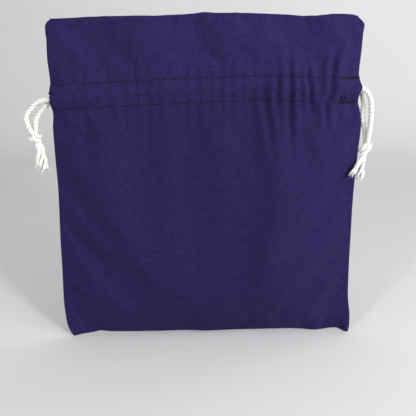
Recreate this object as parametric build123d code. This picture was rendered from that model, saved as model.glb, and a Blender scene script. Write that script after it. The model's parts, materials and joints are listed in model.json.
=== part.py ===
"""Drawstring dice bag: two cloth panels, casing rows, seams and two looped cords.

Millimetres. +Z is up, X runs across the bag, the front faces -Y, and the origin is the middle of
the bottom edge.
"""

import math
import os

from build123d import *

# cloth
HALF_WIDTH = 82.5  # side seam to the middle
HEIGHT = 178.0
CLOTH = 0.6  # one layer
SEAM_HALF = 0.7  # half the thickness at the very edge of a side seam
SEAM_LIP = 3.0  # how far the side seams reach inward
SHOULDER = 5.0  # width of the slope between the seam and the face of the bag
SPLIT = 0.03  # half the gap between the two panels

# casing and heading
HEADING = 33.0  # from the top edge to the upper row
CASING = 12.7  # between the rows
UPPER_ROW = HEIGHT - HEADING
LOWER_ROW = UPPER_ROW - CASING
BAND_DEPTH = 6.6  # half thickness of the bag along the casing and the heading
BAND_START = LOWER_ROW - 3.0
TUNNEL = 3.2  # clear depth that the cords run in
ROW_MARGIN = 0.6  # cloth beyond each row of stitching that stays closed

# pocket: height, then half thickness at the middle of the front and of the back
BELLY = [(0.0, 5.0, 5.0), (22.0, 8.6, 10.6), (52.0, 11.0, 14.5), (88.0, 9.8, 12.6), (BAND_START, 6.6, 6.6)]
BELLY_SHOULDER = 4.2  # half thickness beside the side seams, in the pocket
CORNER_INSET = 1.2  # how much narrower the bottom edge is on each side
FLOOR = 1.2  # two layers at the bottom seam

# cords
CORD = 2.8
CORD_Y = BAND_DEPTH - CLOTH - TUNNEL / 2
CORD_MIDDLE = (UPPER_ROW + LOWER_ROW) / 2
CORD_OFFSET = 1.6  # each cord lies this far above or below the middle of the casing
BEND_X = 75.0  # where a cord turns from the front run to the back run
PIVOT_X = 84.75  # where a loop swings, just outside the side gap
JOINT_GAP = 0.08  # clearance between stretches that move against each other
KNOT_RADIUS = 3.2
KNOT_HALF = 3.5

# sewing thread
THREAD = 0.45
STITCH = 2.3
STITCH_PITCH = 2.8
ROW_HALF = 76.0  # the rows are sewn out to here
BACKSTITCH_RUN = 9.0
SEAM_THREAD_INSET = 1.4
SEAM_THREAD_START = 8.0  # height of the lowest stitch in the side seams


def half_section(half_width, edge, shoulder_x, shoulder, depth, side):
    """The three edges of one face of the bag at one height; side is -1 for the front."""
    control = (4 * depth - shoulder) / 3
    left = (-shoulder_x, side * shoulder)
    right = (shoulder_x, side * shoulder)
    inner_left = (-shoulder_x / 3, side * control)
    inner_right = (shoulder_x / 3, side * control)
    return [
        Line((-half_width, side * edge), left),
        Bezier(left, inner_left, inner_right, right),
        Line(right, (half_width, side * edge)),
    ]


def section(z, half_width, edge, shoulder_x, shoulder, front, back):
    """A closed outline of the bag at one height."""
    front_edges = half_section(half_width, edge, shoulder_x, shoulder, front, -1)
    back_edges = half_section(half_width, edge, shoulder_x, shoulder, back, 1)
    sides = [Line((x, -edge), (x, edge)) for x in (-half_width, half_width)]
    outline = Wire(front_edges + back_edges + sides)
    return Pos(0, 0, z) * Face(outline)


def belly_sections(inset, base):
    """Outlines of the pocket; inset is 0 for the outside and one cloth for the inside."""
    lip = SEAM_LIP if inset else 0
    faces = []
    for z, front, back in BELLY:
        corner = CORNER_INSET if z == 0 else 0
        half_width = HALF_WIDTH - corner - lip
        top = z == BAND_START
        shoulder = BAND_DEPTH if top else BELLY_SHOULDER
        shoulder_x = HALF_WIDTH - corner - SHOULDER - inset
        level = max(z, base)
        edge = SEAM_HALF - (inset and SEAM_HALF / 2)
        faces.append(section(level, half_width, edge, shoulder_x, shoulder - inset, front - inset, back - inset))
    return faces


def band_section(z, inset):
    """The outline along the casing and the heading, straight across the bag."""
    lip = SEAM_LIP if inset else 0
    edge = SEAM_HALF - (inset and SEAM_HALF / 2)
    depth = BAND_DEPTH - inset
    return section(z, HALF_WIDTH - lip, edge, HALF_WIDTH - SHOULDER - inset, depth, depth, depth)


def slab(x_half, y_from, y_to, z_from, z_to):
    """A box across the bag, given by its limits."""
    middle = Pos(0, (y_from + y_to) / 2, (z_from + z_to) / 2)
    return middle * Box(2 * x_half, y_to - y_from, z_to - z_from)


def bag_cloth():
    """Both panels in one, with the pocket, the casing and the side gaps cut out."""
    outside = loft(belly_sections(0, 0))
    outside += extrude(band_section(BAND_START, 0), HEIGHT - BAND_START, dir=(0, 0, 1))
    hem_end = LOWER_ROW - ROW_MARGIN
    casing_top = UPPER_ROW + ROW_MARGIN
    pocket = loft(belly_sections(CLOTH, FLOOR))
    pocket += extrude(band_section(BAND_START, CLOTH), hem_end - BAND_START, dir=(0, 0, 1))
    mouth_half = BAND_DEPTH - 2 * CLOTH - TUNNEL
    casing_mouth = slab(HALF_WIDTH - SHOULDER, -mouth_half, mouth_half, hem_end, casing_top)
    heading = extrude(band_section(casing_top, 2 * CLOTH), HEIGHT - casing_top, dir=(0, 0, 1))
    cloth = outside - pocket - casing_mouth - heading
    tunnel_bottom = LOWER_ROW + ROW_MARGIN
    tunnel_top = UPPER_ROW - ROW_MARGIN
    face = BAND_DEPTH - CLOTH
    for side in (-1, 1):
        near, far = sorted((side * face, side * (face - TUNNEL)))
        cloth -= slab(HALF_WIDTH, near, far, tunnel_bottom, tunnel_top)
    gap = slab(HALF_WIDTH + 1, -face, face, tunnel_bottom, tunnel_top)
    gap -= slab(BEND_X, -face, face, tunnel_bottom, tunnel_top)
    return cloth - gap


def panels():
    cloth = bag_cloth()
    reach = 40
    front_half = slab(HALF_WIDTH + 1, -reach, -SPLIT, -1, HEIGHT + 1)
    back_half = slab(HALF_WIDTH + 1, SPLIT, reach, -1, HEIGHT + 1)
    return {"front_panel": cloth & front_half, "back_panel": cloth & back_half}


def stitch_row(z, side, x_from, x_to, thickness):
    """Surface stitches in a line, half sunk in the face of one panel."""
    count = int((x_to - x_from) / STITCH_PITCH)
    stitches = []
    for i in range(count):
        x = x_from + (i + 0.5) * (x_to - x_from) / count
        stitches.append(Pos(x, side * BAND_DEPTH, z) * Box(STITCH, thickness, THREAD))
    return stitches


def casing_rows():
    """Four sewn rows, each with a doubled stretch of backstitching at its right end."""
    rows = {}
    for name, side in (("front", -1), ("back", 1)):
        for level, z in (("upper", UPPER_ROW), ("lower", LOWER_ROW)):
            start = ROW_HALF - BACKSTITCH_RUN
            rows[f"{name}_{level}_row"] = stitch_row(z, side, -ROW_HALF, ROW_HALF, THREAD)
            second_pass = stitch_row(z - 1.2 * THREAD, side, start, ROW_HALF, THREAD)
            rows[f"{name}_{level}_backstitch"] = second_pass
    return rows


def seam_threads():
    """Stitches through both panels, hidden inside the side seams and the bottom seam."""
    seams = {}
    through = 3 * SEAM_HALF
    for name, side in (("left", -1), ("right", 1)):
        x = side * (HALF_WIDTH - SEAM_THREAD_INSET)
        stretches = [(SEAM_THREAD_START, LOWER_ROW - 2), (UPPER_ROW + 2, HEIGHT - 2)]
        stitches = []
        for low, high in stretches:
            count = int((high - low) / STITCH_PITCH)
            for i in range(count):
                z = low + (i + 0.5) * STITCH_PITCH
                stitches.append(Pos(x, 0, z) * Box(THREAD, through, STITCH))
        seams[f"{name}_seam_thread"] = stitches
    half = HALF_WIDTH - CORNER_INSET - 4
    count = int(2 * half / STITCH_PITCH)
    z = FLOOR / 2
    places = [-half + (i + 0.5) * 2 * half / count for i in range(count)]
    seams["bottom_seam_thread"] = [Pos(x, 0, z) * Box(STITCH, through, THREAD) for x in places]
    return seams


def cord_along(points):
    """A round cord swept along a smooth path."""
    path = Spline(*points)
    profile = Plane(origin=path @ 0, z_dir=path % 0) * Circle(CORD / 2)
    return sweep(profile, path=path)


def cord_runs(side, z):
    """The stretches inside the casing, with round ends at the loop, and the far bend."""
    name = "left_cord" if side < 0 else "right_cord"
    end = side * (PIVOT_X - CORD - JOINT_GAP)
    start = -side * (BEND_X - JOINT_GAP)
    pieces = {}
    for face, y in (("front", -CORD_Y), ("back", CORD_Y)):
        middle = (start + end) / 2
        run = Pos(middle, y, z) * Rot(0, 90, 0) * Cylinder(CORD / 2, abs(end - start))
        pieces[f"{name}_{face}_run"] = run + Pos(end, y, z) * Sphere(CORD / 2)
    ring = Pos(-side * BEND_X, 0, z) * Torus(CORD_Y, CORD / 2)
    outer = Pos(-side * (BEND_X + CORD_Y), 0, z) * Box(2 * CORD_Y, 4 * CORD_Y, 2 * CORD)
    pieces[f"{name}_far_bend"] = ring & outer
    return pieces


def cord_loop(name, pivot, knot, outer, inner):
    """Two strands from the pivot to the knot; each path lists (x, z) places between them."""
    px, pz = pivot
    kx, kz = knot
    clear = Pos(kx, 0, kz) * Rot(0, 90, 0) * Cylinder(KNOT_RADIUS + JOINT_GAP, 4 * KNOT_HALF)
    pieces = {}
    for face, y, path in (("front", -CORD_Y, outer), ("back", CORD_Y, inner)):
        end_y = math.copysign(CORD / 2 + JOINT_GAP, y)
        points = [(px, y, pz)]
        for i, (x, z) in enumerate(path):
            share = (i + 1) / len(path)
            points.append((x, y + share * (end_y - y), z))
        strand = cord_along(points) + Pos(px, y, pz) * Sphere(CORD / 2)
        pieces[f"{name}_{face}_strand"] = strand - clear
    return pieces


def knot_and_tails(name, knot, tails):
    """A barrel-shaped knot about the X axis, and two cord ends below it."""
    kx, kz = knot
    barrel = Rot(0, 90, 0) * Cylinder(KNOT_RADIUS, 2 * KNOT_HALF)
    barrel = fillet(barrel.edges(), KNOT_RADIUS * 0.6)
    pieces = {f"{name}_knot": Pos(kx, 0, kz) * barrel}
    clear = Pos(kx, 0, kz) * Rot(0, 90, 0) * Cylinder(KNOT_RADIUS + SPLIT, 4 * KNOT_HALF)
    pieces[f"{name}_tails"] = [cord_along(points) - clear for points in tails]
    return pieces


def left_cord():
    z = CORD_MIDDLE - CORD_OFFSET
    knot = (-93.8, 116.2)
    outer = [(-89.8, 136.0), (-94.2, 133.2), (-97.2, 128.6), (-96.6, 123.0), (-94.8, 117.8)]
    inner = [(-88.4, 132.8), (-91.6, 128.6), (-93.2, 123.6), (-93.4, 118.2)]
    tails = [
        [(-94.2, -1.6, 116.2), (-93.6, -1.7, 108.0), (-93.8, -1.9, 100.5)],
        [(-93.0, 1.6, 116.2), (-91.2, 1.7, 108.0), (-89.2, 1.9, 98.0)],
    ]
    pieces = cord_runs(-1, z)
    pieces.update(cord_loop("left_cord", (-PIVOT_X, z), knot, outer, inner))
    pieces.update(knot_and_tails("left_cord", knot, tails))
    return pieces


def right_cord():
    z = CORD_MIDDLE + CORD_OFFSET
    knot = (88.4, 107.0)
    outer = [(88.8, 136.4), (89.9, 128.0), (89.6, 118.0), (88.9, 109.0)]
    inner = [(86.1, 134.0), (86.5, 126.0), (87.1, 117.0), (87.7, 109.2)]
    tails = [
        [(87.6, -1.6, 107.0), (84.2, -4.8, 99.0), (79.6, -7.0, 91.5)],
        [(88.8, 1.6, 107.0), (87.6, 1.7, 98.5), (86.8, 1.8, 90.0)],
    ]
    pieces = cord_runs(1, z)
    pieces.update(cord_loop("right_cord", (PIVOT_X, z), knot, outer, inner))
    pieces.update(knot_and_tails("right_cord", knot, tails))
    return pieces


def write(name, shape):
    """One file per node; a list of solids is written as one group."""
    solids = shape if isinstance(shape, list) else [shape]
    export_step(Compound(children=list(solids)) if len(solids) > 1 else solids[0], f"parts/{name}.step")


os.makedirs("parts", exist_ok=True)
for group in (panels(), casing_rows(), seam_threads(), left_cord(), right_cord()):
    for node, shape in group.items():
        write(node, shape)
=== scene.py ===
"""Drawstring dice bag: cloth, stitching, cords and a plain studio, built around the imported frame.

The frame is in metres; shapes here are worked out in millimetres and scaled once, when a mesh is
made. +Z is up, X runs across the bag and the front faces -Y.
"""

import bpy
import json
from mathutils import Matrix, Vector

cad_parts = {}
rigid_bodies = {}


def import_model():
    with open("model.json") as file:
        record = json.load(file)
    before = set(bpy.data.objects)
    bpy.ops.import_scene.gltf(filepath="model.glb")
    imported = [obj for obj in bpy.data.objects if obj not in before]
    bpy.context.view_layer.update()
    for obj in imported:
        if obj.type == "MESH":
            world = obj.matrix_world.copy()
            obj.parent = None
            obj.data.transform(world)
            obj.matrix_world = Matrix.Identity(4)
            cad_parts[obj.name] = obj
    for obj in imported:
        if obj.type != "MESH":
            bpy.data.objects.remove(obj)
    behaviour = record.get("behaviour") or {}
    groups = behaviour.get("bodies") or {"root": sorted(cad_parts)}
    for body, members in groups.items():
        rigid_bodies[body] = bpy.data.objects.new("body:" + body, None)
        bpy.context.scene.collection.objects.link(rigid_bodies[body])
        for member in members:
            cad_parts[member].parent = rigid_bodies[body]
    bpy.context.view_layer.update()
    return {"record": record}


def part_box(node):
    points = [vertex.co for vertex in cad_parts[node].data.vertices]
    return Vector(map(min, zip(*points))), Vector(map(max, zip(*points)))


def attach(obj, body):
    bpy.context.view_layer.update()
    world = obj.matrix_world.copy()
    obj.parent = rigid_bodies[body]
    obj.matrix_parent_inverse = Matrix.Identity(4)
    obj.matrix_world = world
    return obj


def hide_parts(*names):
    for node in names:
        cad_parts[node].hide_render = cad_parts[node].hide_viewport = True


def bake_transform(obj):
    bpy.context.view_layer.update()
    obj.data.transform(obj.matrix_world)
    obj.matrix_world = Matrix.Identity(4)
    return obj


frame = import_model()

import json
import math

import bmesh
import bpy
import numpy as np
from mathutils import Matrix, Vector

MM = 0.001


# ---------------------------------------------------------------- places from the frame


def box_mm(node):
    low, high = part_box(node)
    return np.array(low) / MM, np.array(high) / MM


def row_height(node):
    low, high = box_mm(node)
    return (low[2] + high[2]) / 2


def joint_place(name):
    joint = next(j for j in frame["record"]["behaviour"]["joints"] if j["name"] == name)
    return np.array(joint["pos_m"]) / MM


HALF = box_mm("front_panel")[1][0]
HEIGHT = box_mm("front_panel")[1][2]
UPPER = row_height("front_upper_row")
LOWER = row_height("front_lower_row")
MIDDLE = (UPPER + LOWER) / 2
HEM_END = LOWER - 2.4
BAND_LOW = LOWER + 0.6
BAND_HIGH = UPPER - 0.6

# ---------------------------------------------------------------- cloth shape, in millimetres

CLOTH = 0.6  # one layer
SEAM_HALF = 1.1  # half thickness of the bag at a side seam
SEAM_ROUND = 1.3  # the cloth turns into a side seam over this width
BOTTOM_ROUND = 2.2  # and into the bottom seam over this height
TURN_IN = 0.98  # how far it turns in there; 1 would bring the two faces together
GAP_HALF = 4.7  # half thickness of the bag where a cord comes out
THINNEST = 0.04  # a panel never comes closer than this to the middle of the bag
FOLDLESS_SHARE = 0.03  # folds fade out over this share of the half width, beside a seam
CORD_Y = 3.0  # how far each run of cord lies from the middle of the bag
TUNNEL = 3.3  # clear depth of the casing
BOTTOM_REACH = 40  # the shape of the bottom edge fades out by this height

# (place across the bag, how far the casing rises there)
CASING_LIFT = [(-83, -1.1), (-50, 0.2), (0, 1.6), (26, 2.2), (46, 1.7), (64, 0.4), (83, 0.7)]
# (place across the bag, how far the top edge rises there)
TOP_LIFT = [
    (-83, -1.9), (-70, -1.4), (-57, -0.9), (-38, -0.7), (-19, 0.1), (-6, 0.8), (0, 1.35), (7, 0.9),
    (19, 0.65), (32, 0.05), (45, -0.6), (51, -1.1), (58, -1.1), (70, -0.3), (78, -0.6), (83, -1.5),
]
# the back panel's top edge rises this much more at the left, and less by this at the right
BACK_TOP_RISE = 1.6
BACK_TOP_FALL = 1.9
# (place across the bag, how far the bottom edge rises there)
BOTTOM_LIFT = [
    (-83, 0.0), (-80, 0.3), (-76, 0.7), (-71, 0.9), (-66, 1.35), (-60, 1.0), (-44, 0.9), (-30, 0.7),
    (-15, 0.9), (0, 0.5), (15, 0.6), (45, 0.8), (54, 0.5), (62.5, 0.0), (66.6, 0.2), (71.3, 0.9),
    (76, 1.4), (78.3, 0.7), (81, 0.0), (83, 0.0),
]
# (place across the bag, how far the bottom edge lies back there)
BOTTOM_BACK = [
    (-83, -0.6), (-80, 0.2), (-76, 1.2), (-70, 2.6), (-66, 3.6), (-58, 2.9), (-44, 2.4), (-30, 2.6),
    (-15, 2.9), (0, 2.3), (15, 2.3), (45, 2.1), (54, 1.9), (62.5, 1.0), (67, 1.3), (76, 0.2),
    (78.3, -0.8), (81, -2.4), (83, -2.6),
]
# (height, how far each side edge stands out)
LEFT_EDGE = [
    (0, -2.6), (3, -0.7), (9, 1.1), (23, 2.0), (40, 1.6), (57, 1.4), (73, 0.9), (90, 0.5),
    (106, 0.8), (122, 0.9), (130, 0.2), (136, 1.1), (143, 1.0), (147, 0.5), (160, 1.2), (170, 0.9),
    (174, 1.2), (176.5, 0.4), (178, -1.6),
]
RIGHT_EDGE = [
    (0, -1.3), (3, -0.7), (9, -0.4), (23, -1.4), (40, -1.35), (57, -1.0), (73, -0.7), (90, 0.1),
    (106, 1.4), (119, 2.4), (127, 1.5), (133, 0.1), (136, 0.45), (139.5, 1.9), (142.5, 0.9),
    (147, 0.2), (160, 1.1), (170, 1.7), (174, 2.2), (176, 1.0), (178, -1.3),
]
# (height, half thickness of the bag there)
FRONT_DEPTH = [
    (0, 2.4), (20, 6.2), (50, 8.2), (90, 7.2), (118, 5.6), (LOWER, 5.0), (MIDDLE, 5.8),
    (UPPER, 5.0), (160, 4.4), (178, 3.4),
]
BACK_DEPTH = [
    (0, 2.4), (20, 8.0), (50, 12.4), (90, 10.4), (118, 7.0), (LOWER, 5.0), (MIDDLE, 5.8),
    (UPPER, 5.0), (160, 4.4), (178, 3.4),
]
# (height, how squarely the bag's section fills out towards its sides)
FULLNESS = [
    (0, 3.0), (50, 2.4), (118, 4.0), (LOWER, 7.0), (UPPER, 7.0), (160, 4.0), (178, 3.0),
]

# the creases of each panel: (depth, foot, head, width), where foot and head are (x, height)
CREASES = {
    -1: [
        (1.35, (45.5, 98), (44.5, 166), 1.9),
        (1.3, (56.5, 122), (53.5, 157), 1.6),
        (1.6, (64.6, 124), (69.5, 166), 2.0),
        (0.6, (37, 122), (38.5, 154), 1.5),
        (0.9, (36.5, 98), (29, 150), 2.3),
        (0.8, (65, 114), (63, 138), 1.6),
    ],
    1: [
        (1.1, (-38, 104), (-36, 164), 2.0),
        (1.1, (24, 110), (26, 164), 1.9),
        (0.8, (51, 114), (50, 160), 1.7),
    ],
}
# the long soft ridges of each panel: (height of the ridge, place across the bag, width)
RIDGES = {-1: [(0.7, -22, 9), (0.6, 37, 8)], 1: [(0.8, 8, 12)]}


def smooth_curve(points, at):
    """A smooth curve through (place, value) points, read at the places given."""
    places, values = np.array(points, float).T
    rise = np.diff(values) / np.diff(places)
    before, after = rise[:-1], rise[1:]
    level = before * after <= 0
    middle = np.where(level, 0, 2 * before * after / np.where(level, 1, before + after))
    slopes = np.concatenate([[rise[0]], middle, [rise[-1]]])
    at = np.clip(at, places[0], places[-1])
    i = np.clip(np.searchsorted(places, at) - 1, 0, len(places) - 2)
    span = places[i + 1] - places[i]
    t = (at - places[i]) / span
    near = values[i] * (2 * t**3 - 3 * t**2 + 1) + slopes[i] * span * (t**3 - 2 * t**2 + t)
    far = values[i + 1] * (3 * t**2 - 2 * t**3) + slopes[i + 1] * span * (t**3 - t**2)
    return near + far


def ease(low, high, at):
    t = np.clip((at - low) / (high - low), 0, 1)
    return t * t * (3 - 2 * t)


def hump(centre, width, at):
    return np.exp(-(((at - centre) / width) ** 2))


def waves(x, z, seed, size, count=14):
    """Gentle random folds about one unit high, made of waves about the given size."""
    rng = np.random.default_rng(seed)
    total = np.zeros(np.broadcast(x, z).shape)
    for _ in range(count):
        angle = rng.uniform(0, math.pi)
        length = size * rng.uniform(0.7, 1.6)
        phase = rng.uniform(0, 2 * math.pi)
        total += np.cos(2 * math.pi * (x * math.cos(angle) + z * math.sin(angle)) / length + phase)
    return total / math.sqrt(count / 2)


def crease(x, z, foot, head, width):
    """A soft crease between two raised lips, from foot to head; each of those is (x, z)."""
    line = np.interp(z, [foot[1], head[1]], [foot[0], head[0]])
    across = (x - line) / width
    fade = 0.42 * (head[1] - foot[1])
    along = ease(foot[1], foot[1] + fade, z) * (1 - ease(head[1] - fade, head[1], z))
    return (1.6 * across**2 - 0.35) * np.exp(-((across / 1.5) ** 2)) * along


def gathers(x, z, side):
    """Small upright folds beside the two casing rows, strongest next to the stitches."""
    near_rows = np.maximum(hump(UPPER, 5, z), hump(LOWER, 7, z)) + 0.35 * hump(MIDDLE, 5, z)
    drift = 1.1 * np.sin(x / 17 + side) + 0.7 * np.sin(x / 7.3 + 2 * side)
    return near_rows * np.cos(2 * math.pi * (x + drift) / 6.4 + 0.02 * z)


def seam_puckers(x, z, side):
    """Small ripples square to the side seams."""
    inset = HALF - np.abs(x)
    drift = 1.4 * np.sin(z / 11 + side)
    return np.exp(-inset / 5) * np.cos(2 * math.pi * (z + drift) / 7.2)


def folds(x, z, side):
    """How far the cloth stands out from its plain shape; side is -1 for the front panel."""
    away_from_seams = 1 - np.abs(x / HALF) ** 6
    free = away_from_seams * (1 - 0.7 * hump(MIDDLE, 9, z))
    out = 0.42 * waves(x, z, 11 + side, 60) * free
    out += 0.10 * waves(x, z, 23 + side, 17) * free
    out += 0.13 * gathers(x, z, side) + 0.20 * seam_puckers(x, z, side)
    for depth, foot, head, width in CREASES[side]:
        out += depth * crease(x, z, foot, head, width)
    for rise, centre, width in RIDGES[side]:
        out += rise * hump(centre, width, x) * ease(20, 60, z) * (1 - 0.6 * ease(UPPER, 178, z))
    return out


def end_depth(z):
    """Half thickness at a side edge: a flat seam, opening into the gap beside the casing."""
    reach = (UPPER - LOWER) / 2 - 0.2
    opening = np.sqrt(np.clip(1 - ((z - MIDDLE) / reach) ** 2, 0, 1))
    return SEAM_HALF + (GAP_HALF - SEAM_HALF) * opening


def cloth_place(u, v, side, sink=0.0):
    """Places on the cloth: u is -1 to 1 across, v is height, sink is depth below the face."""
    u, v = np.broadcast_arrays(np.asarray(u, float), np.asarray(v, float))
    flat_x = u * HALF
    edge = np.where(u < 0, -smooth_curve(LEFT_EDGE, v), smooth_curve(RIGHT_EDGE, v))
    x = flat_x + edge * np.abs(u) ** 5
    up_casing = ease(0, LOWER, v) ** 1.5
    up_top = ease(UPPER, HEIGHT, v)
    casing_lift = smooth_curve(CASING_LIFT, flat_x)
    top_lift = smooth_curve(TOP_LIFT, flat_x)
    if side > 0:
        top_lift = top_lift + BACK_TOP_RISE - BACK_TOP_FALL * ease(-38, -8, flat_x)
    low = 1 - ease(0, BOTTOM_REACH, v)
    lift = low * smooth_curve(BOTTOM_LIFT, flat_x) + casing_lift * up_casing * (1 - up_top)
    z = v + (lift + top_lift * up_top)
    mid = smooth_curve(FRONT_DEPTH if side < 0 else BACK_DEPTH, v)
    ends = end_depth(v)
    full = 1 - np.abs(u) ** smooth_curve(FULLNESS, v)
    free = ease(0, FOLDLESS_SHARE, 1 - np.abs(u))
    depth = ends + (mid - ends) * full + folds(flat_x, v, side) * free
    depth = depth + settled(u, v, side)
    depth = np.maximum(depth, SEAM_HALF)
    in_seam = np.clip(1 - (HALF - np.abs(flat_x)) / SEAM_ROUND, 0, 1)
    in_bottom = np.clip(1 - v / BOTTOM_ROUND, 0, 1)
    depth = depth * np.sqrt(np.clip(1 - TURN_IN * in_seam**2, 0, 1))
    depth = depth * np.sqrt(1 - TURN_IN * in_bottom**2)
    inner = np.maximum(depth - sink, THINNEST)
    back = low**2 * smooth_curve(BOTTOM_BACK, flat_x)
    y = side * inner + back
    return np.stack([x, y, z], axis=-1)


# ---------------------------------------------------------------- cloth simulation

DRAPE = {}  # how far each panel's cloth stands out after settling, on a grid over the panel
DRAPE_COLUMNS = 56
DRAPE_ROWS = 60
DRAPE_LIMIT = 1.6  # millimetres that settling may move the cloth in or out
DRAPE_SCALE = 10.0  # the cloth is simulated ten times larger, where the solver is steadiest
DRAPE_FRAMES = 30


def cubic_taps(at, count):
    """The four grid lines around each place and their Catmull-Rom weights."""
    at = np.clip(at, 0, count - 1)
    first = np.clip(np.floor(at).astype(int), 0, count - 2)
    t = at - first
    weights = [
        -t + 2 * t**2 - t**3,
        2 - 5 * t**2 + 3 * t**3,
        t + 4 * t**2 - 3 * t**3,
        t**3 - t**2,
    ]
    lines = [np.clip(first + k, 0, count - 1) for k in (-1, 0, 1, 2)]
    return [(line, weight / 2) for line, weight in zip(lines, weights)]


def settled(u, v, side):
    """How far the simulated cloth stands out from its starting shape."""
    grid = DRAPE.get(side)
    if grid is None:
        return 0.0
    total = 0.0
    rows = cubic_taps(v / HEIGHT * (DRAPE_ROWS - 1), DRAPE_ROWS)
    columns = cubic_taps((u + 1) / 2 * (DRAPE_COLUMNS - 1), DRAPE_COLUMNS)
    for row, row_weight in rows:
        for column, column_weight in columns:
            total = total + row_weight * column_weight * grid[row, column]
    return total


def held(u, v):
    """How firmly the seams, the folded top and the rows of stitching hold the cloth."""
    border = np.maximum(ease(0.94, 0.985, np.abs(u)), 1 - ease(0, 5, v))
    sewn = hump(UPPER, 3, v) + hump(LOWER, 3, v) + 0.6 * hump(MIDDLE, 4, v)
    return np.clip(np.maximum(np.maximum(border, sewn), 0.35 * ease(HEIGHT - 4, HEIGHT, v)), 0, 1)


def drape(side):
    """Lets one panel, cut slightly full, buckle and sag between its seams."""
    u, v = np.meshgrid(np.linspace(-1, 1, DRAPE_COLUMNS), np.linspace(0, HEIGHT, DRAPE_ROWS))
    start = cloth_place(u, v, side)
    index = np.arange(u.size).reshape(u.shape)
    corners = [index[:-1, :-1], index[:-1, 1:], index[1:, 1:], index[1:, :-1]]
    quads = np.stack(corners, axis=-1).reshape(-1, 4)
    mesh = bpy.data.meshes.new("drape")
    mesh.from_pydata((start.reshape(-1, 3) * MM * DRAPE_SCALE).tolist(), [], quads.tolist())
    sheet = bpy.data.objects.new("drape", mesh)
    bpy.context.scene.collection.objects.link(sheet)
    pins = sheet.vertex_groups.new(name="held")
    for i, weight in enumerate(held(u, v).ravel()):
        pins.add([i], float(weight), "REPLACE")
    cloth = sheet.modifiers.new("cloth", "CLOTH")
    cloth.settings.quality = 8
    cloth.settings.mass = 0.15
    cloth.settings.tension_stiffness = 15
    cloth.settings.compression_stiffness = 15
    cloth.settings.shear_stiffness = 5
    cloth.settings.bending_stiffness = 0.6
    cloth.settings.shrink_min = -0.01
    cloth.settings.effector_weights.gravity = 0.3
    cloth.settings.vertex_group_mass = "held"
    cloth.point_cache.frame_end = DRAPE_FRAMES
    for frame_number in range(1, DRAPE_FRAMES + 1):
        bpy.context.scene.frame_set(frame_number)
    evaluated = sheet.evaluated_get(bpy.context.evaluated_depsgraph_get())
    places = np.zeros(u.size * 3)
    evaluated.data.vertices.foreach_get("co", places)
    bpy.context.scene.frame_set(1)
    bpy.data.objects.remove(sheet)
    bpy.data.meshes.remove(mesh)
    moved = places.reshape(*u.shape, 3) / MM / DRAPE_SCALE - start
    return np.clip(side * moved[..., 1], -DRAPE_LIMIT, DRAPE_LIMIT)


# ---------------------------------------------------------------- mesh building


class Builder:
    """Collects places and faces, with the flat cloth coordinates of each place."""

    def __init__(self):
        self.places = []
        self.flat = []
        self.faces = []
        self.count = 0

    def add(self, places, flat=None):
        places = np.asarray(places, float)
        size = places[..., 0].size
        index = np.arange(self.count, self.count + size).reshape(places.shape[:-1])
        flat = np.zeros((size, 3)) if flat is None else np.asarray(flat).reshape(-1, 3)
        self.places.append(places.reshape(-1, 3))
        self.flat.append(flat)
        self.count += size
        return index

    def quads(self, index, wrap=False):
        rows, columns = index.shape
        for i in range(rows - 1):
            for j in range(columns if wrap else columns - 1):
                k = (j + 1) % columns
                self.faces.append((index[i, j], index[i, k], index[i + 1, k], index[i + 1, j]))

    def strip(self, one, two):
        for a, b, c, d in zip(one[:-1], one[1:], two[1:], two[:-1]):
            self.faces.append((a, b, c, d))

    def make(self, name, material, sharp=50):
        mesh = bpy.data.meshes.new(name)
        places = np.concatenate(self.places) * MM
        faces = [tuple(int(i) for i in face) for face in self.faces]
        mesh.from_pydata(places.tolist(), [], faces)
        flat = mesh.attributes.new("flat", "FLOAT_VECTOR", "POINT")
        flat.data.foreach_set("vector", np.concatenate(self.flat).astype(np.float32).ravel())
        tidy = bmesh.new()
        tidy.from_mesh(mesh)
        bmesh.ops.recalc_face_normals(tidy, faces=tidy.faces)
        tidy.to_mesh(mesh)
        tidy.free()
        mesh.shade_smooth()
        mesh.set_sharp_from_angle(angle=math.radians(sharp))
        mesh.materials.append(material)
        piece = bpy.data.objects.new(name, mesh)
        bpy.context.scene.collection.objects.link(piece)
        return piece


def flat_grid(u, v, layer):
    """Where the weave lies on one layer of cloth."""
    u, v = np.broadcast_arrays(u, v)
    return np.stack([u * HALF, v, np.full(u.shape, float(layer))], axis=-1)


def blend_by_share(piece):
    """Bakes the piece's placement into its mesh."""
    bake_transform(piece)


def follow_cloth(piece):
    """A sewn piece: its placement is baked into its mesh, as for a panel."""
    blend_by_share(piece)


# ---------------------------------------------------------------- materials


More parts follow.
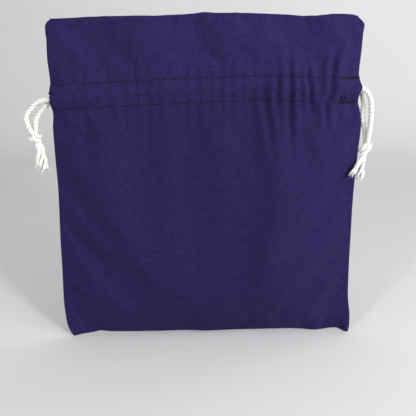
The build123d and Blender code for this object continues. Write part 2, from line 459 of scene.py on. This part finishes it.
class Shader:
    """A node material with a short way to add and join nodes."""

    def __init__(self, name):
        self.material = bpy.data.materials.new(name)
        self.material.use_nodes = True
        self.tree = self.material.node_tree
        self.surface = self.tree.nodes["Principled BSDF"]

    def node(self, kind, inputs=None, **settings):
        node = self.tree.nodes.new(kind)
        for key, value in settings.items():
            setattr(node, key, value)
        for key, value in (inputs or {}).items():
            self.give(node.inputs[key], value)
        return node

    def give(self, socket, value):
        if isinstance(value, bpy.types.NodeSocket):
            self.tree.links.new(value, socket)
        else:
            socket.default_value = value

    def math(self, operation, *values):
        node = self.node("ShaderNodeMath", operation=operation)
        for socket, value in zip(node.inputs, values):
            self.give(socket, value)
        return node.outputs[0]

    def mix(self, share, one, two):
        node = self.node("ShaderNodeMix", data_type="RGBA")
        for socket, value in ((0, share), (6, one), (7, two)):
            self.give(node.inputs[socket], value)
        return node.outputs[2]

    def bump(self, height, distance, strength=1.0, below=None):
        inputs = {"Height": height, "Distance": distance, "Strength": strength}
        if below is not None:
            inputs["Normal"] = below
        return self.node("ShaderNodeBump", inputs).outputs[0]

    def map_range(self, value, low, high, to_low=0.0, to_high=1.0):
        inputs = {0: value, 1: low, 2: high, 3: to_low, 4: to_high}
        return self.node("ShaderNodeMapRange", inputs).outputs[0]

    def set(self, **values):
        for key, value in values.items():
            self.give(self.surface.inputs[key.replace("_", " ")], value)


def noise(shader, vector, scale, detail=2.0):
    node = shader.node("ShaderNodeTexNoise", {"Vector": vector, "Scale": scale, "Detail": detail})
    return node.outputs["Fac"]


def stretched(shader, vector, x, y, z):
    inputs = {0: vector, 1: (x, y, z)}
    return shader.node("ShaderNodeVectorMath", inputs, operation="MULTIPLY").outputs[0]


CLOTH_DEEP = (0.0064, 0.0038, 0.0284, 1)
CLOTH_BASE = (0.0084, 0.0049, 0.0357, 1)
CLOTH_PALE = (0.0241, 0.0159, 0.0810, 1)
WEAVE_PITCH = 0.42  # millimetres from one thread to the next


def cloth_material():
    """Indigo plain weave: crossing threads, slubs, uneven dye, paler rubbed threads, and painted
    light and shade.
    """
    s = Shader("indigo_cotton")
    flat = s.node("ShaderNodeAttribute", attribute_name="flat").outputs["Vector"]
    split = s.node("ShaderNodeSeparateXYZ", {0: flat})
    turn = math.pi / WEAVE_PITCH
    wander = s.math("MULTIPLY", noise(s, stretched(s, flat, 0.5, 0.5, 1), 1.0), 1.6)
    across = s.math("SINE", s.math("ADD", s.math("MULTIPLY", split.outputs[0], turn), wander))
    up = s.math("SINE", s.math("ADD", s.math("MULTIPLY", split.outputs[1], turn), wander))
    weave = s.math("MULTIPLY", across, up)
    warp = noise(s, stretched(s, flat, 2.4, 0.22, 1), 1.0)
    weft = noise(s, stretched(s, flat, 0.22, 2.4, 1), 1.0)
    slubs = s.math("ADD", warp, weft)
    grain = noise(s, flat, 1.7, 3.0)
    blotch = noise(s, flat, 0.05, 3.0)
    dyed = s.mix(s.map_range(blotch, 0.1, 0.9), CLOTH_DEEP, CLOTH_BASE)
    slubbed = s.mix(s.map_range(slubs, 0.85, 1.35, to_high=0.75), dyed, CLOTH_PALE)
    rubbed = s.mix(s.map_range(grain, 0.45, 0.8, to_high=0.75), slubbed, CLOTH_PALE)
    shaded = s.mix(s.map_range(weave, -1.0, 1.0, 0.35, 0.0), rubbed, CLOTH_DEEP)
    # painted light: a little paler in the heading; painted shade: darkest down the middle of the
    # pocket
    heading = s.map_range(split.outputs[1], LOWER - 6, UPPER + 4)
    aside = s.math("ABSOLUTE", s.math("SUBTRACT", split.outputs[0], 5.0))
    painted_pocket_shade = s.map_range(aside, 18.0, 52.0, 1.0, 0.0)
    painted_pocket_shade = s.math("MULTIPLY", painted_pocket_shade, s.math("SUBTRACT", 1.0, heading))
    painted_light_and_shade = s.math("MULTIPLY_ADD", heading, 0.08, s.math("MULTIPLY_ADD", painted_pocket_shade, -0.10, 1.0))
    scaled = s.node("ShaderNodeVectorMath", {0: shaded, "Scale": painted_light_and_shade}, operation="SCALE")
    relief = s.bump(weave, 0.00006, 0.7)
    relief = s.bump(slubs, 0.00016, 0.8, relief)
    relief = s.bump(grain, 0.00012, 0.6, relief)
    s.set(Base_Color=scaled.outputs[0], Roughness=0.92, Normal=relief, Specular_IOR_Level=0.1)
    s.set(Sheen_Weight=0.05, Sheen_Roughness=0.45, Sheen_Tint=(0.55, 0.5, 0.95, 1))
    return s.material


def thread_material():
    """Near-black sewing thread with a fine ply twist."""
    s = Shader("dark_thread")
    place = s.node("ShaderNodeTexCoord").outputs["Object"]
    inputs = {"Vector": place, "Scale": 900.0, "Distortion": 1.5}
    twist = s.node("ShaderNodeTexWave", inputs, bands_direction="DIAGONAL")
    tone = s.mix(noise(s, place, 300.0), (0.0035, 0.003, 0.005, 1), (0.009, 0.008, 0.013, 1))
    relief = s.bump(twist.outputs["Fac"], 0.00006, 0.8)
    s.set(Base_Color=tone, Roughness=0.8, Normal=relief, Specular_IOR_Level=0.12)
    return s.material


def cord_material():
    """White cotton: fibres along each ply, faint grey in the grooves."""
    s = Shader("white_cotton_cord")
    flat = s.node("ShaderNodeAttribute", attribute_name="flat").outputs["Vector"]
    fibres = noise(s, stretched(s, flat, 9.0, 1.1, 1), 1.0, 3.0)
    lint = noise(s, s.node("ShaderNodeTexCoord").outputs["Object"], 900.0, 2.0)
    tone = s.mix(fibres, (0.49, 0.49, 0.465, 1), (0.68, 0.68, 0.645, 1))
    relief = s.bump(fibres, 0.00025, 0.9)
    relief = s.bump(lint, 0.00008, 0.5, relief)
    s.set(Base_Color=tone, Roughness=0.9, Normal=relief, Sheen_Weight=0.1, Specular_IOR_Level=0.2)
    return s.material


CLOTH_MATERIAL = cloth_material()
THREAD_MATERIAL = thread_material()
CORD_MATERIAL = cord_material()

# ---------------------------------------------------------------- cloth panels

FOLD_ROWS = 3
FOLD_RISE = 0.55  # height of the fold above the panel's last row


def panel_heights():
    rounding = BOTTOM_ROUND * (1 - np.cos(np.linspace(0, math.pi / 2, 6)[:-1]))
    pocket = np.concatenate([rounding, np.linspace(BOTTOM_ROUND, HEM_END, 143)])
    below = np.linspace(HEM_END, BAND_LOW, 5)[1:]
    band = np.linspace(BAND_LOW, BAND_HIGH, 15)[1:]
    heading = np.linspace(BAND_HIGH, HEIGHT, 40)[1:]
    return np.concatenate([pocket, below, band, heading])


def panel_shares():
    """Places from the middle to a side seam, closer together where the cloth turns in."""
    flat = np.linspace(0, HALF - SEAM_ROUND, 92)
    rounding = HALF - SEAM_ROUND * (1 - np.sin(np.linspace(0, math.pi / 2, 7)[1:]))
    return np.concatenate([flat, rounding]) / HALF


def hem_sink(v):
    """Depth from the face of the bag to the inside of the turned-in hem."""
    double = 2.1 * CLOTH
    opened = 2 * CLOTH + TUNNEL
    below = ease(HEM_END - 0.1, LOWER, v)
    above = 1 - ease(UPPER - 0.6, UPPER + 3, v)
    return double + (opened - double) * below * above


def top_fold(outer, inner):
    """Rows that carry the cloth over the fold at the top edge."""
    rows = []
    for i in range(1, FOLD_ROWS + 1):
        angle = math.pi * i / (FOLD_ROWS + 1)
        share = (1 - math.cos(angle)) / 2
        row = outer * (1 - share) + inner * share
        rows.append(row + np.array([0, 0, FOLD_RISE * math.sin(angle)]))
    return rows


def panel_half(panel, side, half):
    """Left or right half of one panel: face, turned-in hem and the tunnel for the cords."""
    u = panel_shares() * (1 if half == "right" else -1)
    v = panel_heights()
    grid_u, grid_v = np.meshgrid(u, v)
    hem = int(np.argmin(np.abs(v - HEM_END)))
    low = int(np.argmin(np.abs(v - BAND_LOW)))
    high = int(np.argmin(np.abs(v - BAND_HIGH)))
    builder = Builder()
    face = builder.add(cloth_place(grid_u, grid_v, side), flat_grid(grid_u, grid_v, 0))
    pocket_u, pocket_v = grid_u[: hem + 1], grid_v[: hem + 1]
    hem_u, hem_v = grid_u[hem:], grid_v[hem:]
    pocket = cloth_place(pocket_u, pocket_v, side, CLOTH)
    inside = builder.add(pocket, flat_grid(pocket_u, pocket_v, 2))
    hem_places = cloth_place(hem_u, hem_v, side, hem_sink(hem_v))
    turned = builder.add(hem_places, flat_grid(hem_u, hem_v, 3))
    band = slice(low, high + 1)
    band_u, band_v = grid_u[band], grid_v[band]
    wall = cloth_place(band_u, band_v, side, CLOTH)
    outer_wall = builder.add(wall, flat_grid(band_u, band_v, 4))
    wall = cloth_place(band_u, band_v, side, hem_sink(band_v) - CLOTH)
    inner_wall = builder.add(wall, flat_grid(band_u, band_v, 5))
    for grid in (face, inside, turned, outer_wall, inner_wall):
        builder.quads(grid)
    top = [face[-1]]
    for row in top_fold(cloth_place(u, HEIGHT, side), hem_places[-1]):
        top.append(builder.add(row, flat_grid(u, np.full(u.shape, HEIGHT), 0)))
    top.append(turned[-1])
    for one, two in zip(top[:-1], top[1:]):
        builder.strip(one, two)
    builder.strip(face[0], inside[0])
    builder.strip(inside[-1], turned[0])
    builder.strip(outer_wall[0], inner_wall[0])
    builder.strip(outer_wall[-1], inner_wall[-1])
    for k in (0, -1):
        layers = [grid[:, k] for grid in (face, inside, turned, outer_wall, inner_wall)]
        cap_panel_end(builder, layers, (hem, low, high), [row[k] for row in top[1:-1]])
    piece = builder.make(f"{panel}_panel_{half}", CLOTH_MATERIAL)
    blend_by_share(piece)
    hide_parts(f"{panel}_panel")


def cap_panel_end(builder, layers, levels, fold):
    """Closes one end of a panel half, leaving the cord tunnel open."""
    face, inside, turned, outer_wall, inner_wall = layers
    hem, low, high = levels
    builder.strip(face[: hem + 1], inside)
    builder.faces.append((face[hem], face[hem + 1], turned[1], turned[0], inside[-1]))
    start = low - hem
    end = high - hem
    builder.strip(face[hem + 1 : low], turned[1:start])
    below = (face[low - 1], face[low], outer_wall[0], inner_wall[0], turned[start])
    builder.faces.append((*below, turned[start - 1]))
    builder.strip(face[low : high + 1], outer_wall)
    builder.strip(inner_wall, turned[start : end + 1])
    above = (face[high], face[high + 1], turned[end + 1], turned[end], inner_wall[-1])
    builder.faces.append((*above, outer_wall[-1]))
    builder.strip(face[high + 1 :], turned[end + 1 :])
    builder.faces.append((face[-1], *fold, turned[-1]))


def make_panels():
    for panel, side in (("front", -1), ("back", 1)):
        for half in ("right", "left"):
            panel_half(panel, side, half)


# ---------------------------------------------------------------- sewing thread

THREAD = 0.33  # radius of a surface stitch
STITCH_PITCH = 2.8
STITCH_DIP = 0.42  # how far a stitch's ends lie below the face of the cloth
STITCH_RINGS = 7
STITCH_AROUND = 6
BACKSTITCH_RUN = 11.5  # the second pass at a row's end starts this far in
BACKSTITCH_PITCH = 1.9
BACKSTITCH_SLANT = 0.36
BACKSTITCH_THREAD = 1.55 * THREAD
LOOSE_THREAD = 0.23
LOOSE_AROUND = 5
SEAM_THREAD = 0.12
SEAM_PITCH = 1.4


def frames_along(path):
    """Directions along a path, and two directions square to it that don't spin."""
    ahead = np.gradient(path, axis=0)
    ahead /= np.linalg.norm(ahead, axis=1)[:, None]
    side = np.cross(ahead[0], (0.0, 0.31, 0.95))
    side /= np.linalg.norm(side)
    sides = []
    for step in ahead:
        side = side - step * (side @ step)
        side = side / np.linalg.norm(side)
        sides.append(side)
    sides = np.array(sides)
    return ahead, sides, np.cross(ahead, sides)


def lengths_along(path):
    return np.concatenate([[0], np.cumsum(np.linalg.norm(np.diff(path, axis=0), axis=1))])


def tube(builder, path, radius, around, length_at=0.0):
    """A round tube with closed ends; radius is one number or one per place."""
    _, side, lift = frames_along(path)
    radius = np.broadcast_to(radius, len(path))[:, None, None]
    angle = np.linspace(0, 2 * math.pi, around, endpoint=False)[None, :, None]
    outward = np.cos(angle) * side[:, None, :] + np.sin(angle) * lift[:, None, :]
    ring = path[:, None, :] + radius * outward
    flat = np.zeros(ring.shape)
    flat[..., 0] = np.cos(angle[..., 0])
    flat[..., 1] = (length_at + lengths_along(path))[:, None]
    flat[..., 2] = np.sin(angle[..., 0])
    index = builder.add(ring, flat)
    builder.quads(index, wrap=True)
    builder.faces.append(tuple(index[0]))
    builder.faces.append(tuple(index[-1][::-1]))
    return index


def stitch(builder, side, start, end, thick, rise):
    """One surface stitch between two flat places (x, z): it rises, runs and dives back in."""
    steps = np.linspace(0, 1, STITCH_RINGS)
    x = start[0] + steps * (end[0] - start[0])
    z = start[1] + steps * (end[1] - start[1])
    height = -STITCH_DIP + rise * np.sin(math.pi * steps) ** 0.5
    places = cloth_place(x / HALF, z, side)
    places[:, 1] += side * height
    tube(builder, places, thick * np.array([0.7, 0.95, 1, 1, 1, 0.95, 0.7]), STITCH_AROUND)
    return [(x.mean() / HALF, z.mean())] * (STITCH_RINGS * STITCH_AROUND)


def loose_thread(builder, side, points):
    """A short end of thread; each point is (x, height, how far it stands off the cloth)."""
    x, z, out = np.array(points, float).T
    places = cloth_place(np.clip(x / HALF, -1, 1), z, side)
    places[:, 0] += x - np.clip(x, -HALF, HALF)
    places[:, 1] += side * out
    path = smooth_path(places, 0.25)
    tube(builder, path, LOOSE_THREAD, LOOSE_AROUND)
    return [(np.clip(x.mean() / HALF, -1, 1), z.mean())] * (len(path) * LOOSE_AROUND)


def stitch_line(builder, side, z, x_from, x_to, pitch, rng, slant=0.0, thick=THREAD):
    """A run of stitches that vary a little, and are higher and thicker near a side seam."""
    shares = []
    for x in np.arange(x_from, x_to - 0.5 * pitch, pitch):
        near = z - slant + rng.uniform(-0.14, 0.14)
        far = z + slant + rng.uniform(-0.14, 0.14)
        gap = rng.uniform(0.12, 0.38)
        at_end = ease(68, 78, abs(x))
        rise = 0.6 + 0.12 * at_end + rng.uniform(-0.08, 0.06)
        radius = thick * (1 + 0.3 * at_end) * rng.uniform(0.8, 1.0)
        shares += stitch(builder, side, (x + gap, near), (x + pitch - gap, far), radius, rise)
    return shares


# loose ends beside the front rows of stitching: (row, half of the bag, points)
LOOSE_THREADS = [
    ("lower", "right", [
        (72.8, 132.4, -0.2), (72.3, 133.9, 0.4), (72.8, 135.2, 0.6), (74.0, 135.6, 0.7),
        (75.1, 135.1, 0.6), (74.9, 134.1, 0.5), (73.9, 133.4, 0.3),
    ]),
    ("upper", "left", [
        (-81.2, 141.9, 0.1), (-82.3, 141.3, 0.5), (-83.0, 140.9, 0.5), (-83.5, 141.2, 0.3),
    ]),
    ("upper", "left", [
        (-79.2, 139.6, 0.1), (-79.9, 141.0, 0.5), (-81.2, 140.8, 0.6), (-81.9, 139.9, 0.3),
    ]),
]


def casing_row(panel, side, level, half, rng):
    """One half of a row of stitching, with its backstitch and loose ends."""
    height = UPPER if level == "upper" else LOWER
    builder = Builder()
    limits = (-HALF + 0.8, 0) if half == "left" else (0, HALF - 0.8)
    shares = stitch_line(builder, side, height, *limits, STITCH_PITCH, rng)
    if half == "right":
        limits = (HALF - BACKSTITCH_RUN, HALF - 0.6)
        style = (BACKSTITCH_PITCH, rng, BACKSTITCH_SLANT, BACKSTITCH_THREAD)
        shares += stitch_line(builder, side, height - 0.25, *limits, *style)
    for row, place, points in LOOSE_THREADS:
        if (panel, level, half) == ("front", row, place):
            shares += loose_thread(builder, side, points)
    piece = builder.make(f"{panel}_{level}_row_{half}", THREAD_MATERIAL)
    follow_cloth(piece)
    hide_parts(f"{panel}_{level}_row", f"{panel}_{level}_backstitch")


def make_casing_rows():
    rng = np.random.default_rng(5)
    for panel, side in (("front", -1), ("back", 1)):
        for level in ("upper", "lower"):
            for half in ("left", "right"):
                casing_row(panel, side, level, half, rng)


def make_seam_threads():
    """Lockstitching inside the side seams and the bottom seam."""
    for half, sign in (("left", -1), ("right", 1)):
        builder = Builder()
        shares = []
        for low, high in ((4, LOWER - 1.5), (UPPER + 1.5, HEIGHT - 3)):
            heights = np.arange(low, high, SEAM_PITCH)
            edge = cloth_place(np.full(heights.shape, sign * 0.985), heights, -1)
            swing = 0.3 * (-1.0) ** np.arange(len(heights))
            path = np.stack([edge[:, 0] - sign * 0.4, swing, edge[:, 2]], axis=1)
            tube(builder, path, SEAM_THREAD, LOOSE_AROUND)
            shares += [(sign, height) for height in heights for _ in range(LOOSE_AROUND)]
        piece = builder.make(f"{half}_seam_stitching", THREAD_MATERIAL)
        follow_cloth(piece)
        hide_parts(f"{half}_seam_thread")
    builder = Builder()
    across = np.arange(-HALF + 5, HALF - 5, SEAM_PITCH)
    path = cloth_place(across / HALF, 0.8, -1, 2.2)
    path[:, 1] += 0.25 * (-1.0) ** np.arange(len(across))
    tube(builder, path, SEAM_THREAD, LOOSE_AROUND)
    piece = builder.make("bottom_seam_stitching", THREAD_MATERIAL)
    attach(piece, "bag")
    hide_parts("bottom_seam_thread")


# ---------------------------------------------------------------- cords


def smooth_path(points, spacing=0.35):
    """A smooth path through points, resampled evenly."""
    points = np.array(points, float)
    steps = np.linalg.norm(np.diff(points, axis=0), axis=1)
    places = np.concatenate([[0], np.cumsum(steps)])
    at = np.linspace(0, places[-1], max(8, int(places[-1] / spacing)))
    return np.stack([smooth_curve(list(zip(places, points[:, i])), at) for i in range(3)], axis=1)


PLIES = 3
PLY_RADIUS = 0.70
PLY_OFFSET = 0.74
PLY_AROUND = 8
CORD_RADIUS = 1.4
LAY = 6.4  # length of one full turn of the twist
KNOT_LAY = 1.6 * LAY
TAIL_LAY = 3 * LAY
BEND_X = 74.0  # where the cord turns back inside the far end of the casing
KNOT_STEPS = 170
KNOT_START = 0.6  # the angle at which the wraps begin, in radians
FRAY_RADIUS = 0.11


def plies(builder, path, offset=PLY_OFFSET, radius=PLY_RADIUS, lay=LAY, twist_from=0.0):
    """A laid cord: plies twisted round the path. offset and radius may change along it."""
    _, side, lift = frames_along(path)
    run = lengths_along(path)
    offset = np.broadcast_to(offset, len(path))[:, None]
    for ply in range(PLIES):
        angle = (twist_from + 2 * math.pi * (run / lay + ply / PLIES))[:, None]
        centre = path + offset * (np.cos(angle) * side + np.sin(angle) * lift)
        tube(builder, centre, radius, PLY_AROUND, length_at=17.0 * ply)


def make_cord_loop(name, side, outer, inner):
    """The whole loop: front strand, front run, far bend, back run and back strand."""
    pivot = joint_place(name.replace("cord", "loop") + "_swing")
    run_z = pivot[2]
    turn = []
    for angle in np.linspace(0, math.pi, 9):
        x = -side * BEND_X - side * CORD_Y * math.sin(angle)
        turn.append((x, -CORD_Y * math.cos(angle), run_z))
    exits = ((HALF - 1.0, -1.9), (HALF - 7, -2.6), (HALF - 17, -CORD_Y), (0, -CORD_Y))
    front = [(side * x, y, run_z) for x, y in exits]
    back = [(x, -y, z) for x, y, z in front[::-1]]
    path = smooth_path(outer[::-1] + front + turn + back + inner)
    builder = Builder()
    plies(builder, path)
    piece = builder.make(name + "_loop", CORD_MATERIAL)
    blend_by_share(piece)
    stretches = ("front_run", "back_run", "far_bend", "front_strand", "back_strand")
    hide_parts(*[f"{name}_{stretch}" for stretch in stretches])


def make_knot(name, centre, size, lean, turns, way):
    """A tight overhand knot: wraps that tuck in at both ends, round a strand running through."""
    t = np.linspace(0, 1, KNOT_STEPS)
    angle = 2 * math.pi * turns * t + KNOT_START
    tuck = 1 - 0.75 * (1 - ease(0, 0.16, t)) - 0.75 * ease(0.84, 1, t)
    reach = np.array(size) - CORD_RADIUS
    drop = reach[2] * (1 - 2 * t)
    wide = way * reach[0] * tuck * np.cos(angle)
    deep = -reach[1] * tuck * np.sin(angle)
    wraps = np.stack([wide, deep, drop], axis=1)
    wide = 0.3 * np.sin(2 * math.pi * t)
    deep = 0.2 * np.cos(2 * math.pi * t)
    through = np.stack([wide, deep, 1.1 * drop], axis=1)
    turn = np.array(Matrix.Rotation(math.radians(lean), 3, "Y"))
    builder = Builder()
    for path in (wraps, through):
        plies(builder, path @ turn.T + centre, PLY_RADIUS, PLY_RADIUS, KNOT_LAY)
    piece = builder.make(name + "_tied_knot", CORD_MATERIAL)
    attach(piece, name.replace("cord", "knot"))
    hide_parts(name + "_knot")


def fray(builder, root, ahead, rng, count=26, length=2.4):
    """Loose fibres at a cord's end."""
    for _ in range(count):
        drift = rng.normal(0, 0.13, 3)
        bend = rng.normal(0, 0.12, 3)
        reach = length * rng.uniform(0.45, 1.0)
        t = np.linspace(0, 1, 7)[:, None]
        start = root - 0.5 * ahead + rng.normal(0, 0.26, 3)
        path = start + reach * (t * (ahead + drift) + t**2 * bend)
        tube(builder, path, FRAY_RADIUS * (1 - 0.6 * t[:, 0]), 4)


def make_tails(name, tails, seed):
    """The cord's two ends, unlaid into plies that spread and fray: (points, spread, thickness)."""
    rng = np.random.default_rng(seed)
    builder = Builder()
    for points, spread, thick in tails:
        path = smooth_path(points)
        share = np.linspace(0, 1, len(path))
        open_up = ease(0.45, 1.0, share)
        radius = thick * PLY_RADIUS * (1 + 0.15 * open_up)
        radius = radius * np.where(share > 0.93, 1 - 0.6 * (share - 0.93) / 0.07, 1)
        offset = thick * PLY_OFFSET + (spread - thick * PLY_OFFSET) * open_up
        first = builder.count
        plies(builder, path, offset, radius, TAIL_LAY, rng.uniform(0, 6))
        made = np.concatenate(builder.places)[first:].reshape(PLIES, len(path), PLY_AROUND, 3)
        for ply in made:
            end = ply[-1].mean(axis=0)
            ahead = end - ply[-6].mean(axis=0)
            fray(builder, end, ahead / np.linalg.norm(ahead), rng)
    piece = builder.make(name + "_frayed_ends", CORD_MATERIAL)
    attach(piece, name.replace("cord", "knot"))
    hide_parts(name + "_tails")


def make_left_cord():
    outer = [
        (-84.6, -1.9, 136.8), (-89.6, -2.0, 135.8), (-93.7, -2.1, 132.7), (-97.2, -2.0, 127.2),
        (-96.2, -1.8, 122.3), (-94.4, -1.2, 118.6), (-93.8, -0.7, 117.4),
    ]
    inner = [
        (-84.0, 1.7, 136.0), (-86.8, 1.2, 133.5), (-90.3, 0.9, 130.0), (-92.9, 0.9, 125.4),
        (-93.5, 0.7, 120.4), (-93.6, 0.4, 117.7),
    ]
    make_cord_loop("left_cord", -1, outer, inner)
    make_knot("left_cord", joint_place("left_knot_swing"), (3.7, 3.2, 3.4), 11, 1.8, -1)
    tails = [
        ([(-93.0, -0.5, 114.2), (-92.3, -1.0, 109.4), (-93.4, -1.3, 101.4)], 0.7, 0.74),
        ([(-92.4, 0.4, 114.2), (-90.8, 0.2, 109.0), (-90.1, 0.0, 98.7)], 1.9, 1.3),
    ]
    make_tails("left_cord", tails, 31)


def make_right_cord():
    outer = [
        (85.2, -2.0, 139.3), (88.0, -2.2, 136.6), (89.5, -2.2, 131.6), (89.8, -2.0, 124.0),
        (89.2, -1.4, 115.4), (88.5, -0.7, 108.6),
    ]
    inner = [
        (84.6, 1.9, 138.6), (86.2, 2.1, 134.6), (86.7, 1.9, 131.0), (86.3, 1.7, 127.4),
        (86.1, 1.6, 124.2), (87.0, 1.4, 120.2), (87.8, 1.1, 115.6), (87.9, 0.7, 112.0),
        (87.9, 0.4, 109.0),
    ]
    make_cord_loop("right_cord", 1, outer, inner)
    centre = joint_place("right_knot_swing") + np.array([-0.3, 0, 0.4])
    make_knot("right_cord", centre, (4.3, 2.9, 3.2), -42, 1.5, 1)
    tails = [
        ([(87.2, -1.3, 105.2), (84.0, -3.4, 100.2), (80.0, -5.2, 94.2)], 0.8, 0.85),
        ([(87.9, 0.2, 105.2), (86.5, -0.4, 99.6), (85.3, -0.6, 90.8)], 1.5, 1.15),
    ]
    make_tails("right_cord", tails, 47)


# ---------------------------------------------------------------- studio


def studio_material(name, color):
    s = Shader(name)
    place = s.node("ShaderNodeTexCoord").outputs["Object"]
    mottle = noise(s, place, 6.0, 2.0)
    darker = tuple(0.97 * c for c in color[:3]) + (1,)
    s.set(Base_Color=s.mix(mottle, darker, color), Roughness=0.85, Specular_IOR_Level=0.1)
    return s.material


def make_sweep():
    """A floor that curves up into a far wall, in metres."""
    front, bend, radius, wall_top, half_width = -2.0, 1.0, 0.5, 3.0, 8.0
    profile = [(front, 0.0), (bend, 0.0)]
    for angle in np.linspace(0, math.pi / 2, 24)[1:]:
        profile.append((bend + radius * math.sin(angle), radius * (1 - math.cos(angle))))
    profile.append((bend + radius, wall_top))
    places = np.array([[(x, y, z) for x in (-half_width, half_width)] for y, z in profile]) / MM
    places[..., 2] -= 0.02
    builder = Builder()
    builder.quads(builder.add(places))
    paper = studio_material("studio_paper", (0.785, 0.78, 0.78, 1))
    builder.make("studio_sweep", paper, 90)


def area_light(name, place, target, size, power, receivers=None):
    light = bpy.data.lights.new(name, "AREA")
    light.shape = "DISK"
    light.size = size
    light.energy = power
    lamp = bpy.data.objects.new(name, light)
    lamp.location = place
    aim = Vector(target) - Vector(place)
    lamp.rotation_euler = aim.to_track_quat("-Z", "Y").to_euler()
    lamp.light_linking.receiver_collection = receivers
    lamp.visible_camera = False
    bpy.context.scene.collection.objects.link(lamp)


def make_lights(bag_only):
    """Soft lights for the whole scene, then two that light nothing but the bag."""
    middle = (0, 0, 0.09)
    area_light("key_right", (0.80, -1.20, 0.38), middle, 0.22, 17)
    area_light("key_left", (-0.80, -1.20, 0.38), middle, 0.22, 8.7)
    area_light("overhead", (0, -0.2, 1.6), middle, 1.2, 2.6)
    area_light("side_fill", (0.45, -0.40, 0.30), (0.03, 0, 0.09), 0.40, 1.2)
    area_light("wall_wash", (1.2, 0.7, 1.4), (1.0, 1.5, 0.5), 0.6, 6.6)
    area_light("edge_light", (0.50, -0.25, 0.40), middle, 0.35, 2.65, bag_only)
    area_light("back_light", (0.30, 1.20, 0.50), middle, 0.80, 22.0, bag_only)
    world = bpy.data.worlds.new("studio_world")
    world.use_nodes = True
    background = world.node_tree.nodes["Background"].inputs
    background["Color"].default_value = (1.0, 0.99, 1.0, 1)
    background["Strength"].default_value = 0.393
    bpy.context.scene.world = world


CAMERA_PLACE = (-0.0030, -0.2898, 0.1341)
CAMERA_PITCH, CAMERA_YAW, CAMERA_ROLL = 11.47, -0.64, -1.0
CAMERA_LENS = 45.3
CAMERA_SENSOR = 36


def make_camera():
    camera = bpy.data.cameras.new("camera")
    camera.sensor_width = CAMERA_SENSOR
    camera.lens = CAMERA_LENS
    camera.clip_start = 0.01
    holder = bpy.data.objects.new("camera", camera)
    yaw = Matrix.Rotation(math.radians(CAMERA_YAW), 4, "Z")
    pitch = Matrix.Rotation(math.pi / 2 - math.radians(CAMERA_PITCH), 4, "X")
    roll = Matrix.Rotation(math.radians(CAMERA_ROLL), 4, "Z")
    holder.matrix_world = Matrix.Translation(CAMERA_PLACE) @ (yaw @ pitch @ roll)
    bpy.context.scene.collection.objects.link(holder)
    bpy.context.scene.camera = holder


# ---------------------------------------------------------------- the scene

DRAPE.update({side: drape(side) for side in (-1, 1)})
make_panels()
make_casing_rows()
make_seam_threads()
make_left_cord()
make_right_cord()
bag_only = bpy.data.collections.new("bag_only")
for piece in bpy.context.scene.objects:
    bag_only.objects.link(piece)
make_sweep()
make_lights(bag_only)
make_camera()
bpy.context.scene.view_settings.view_transform = "Standard"
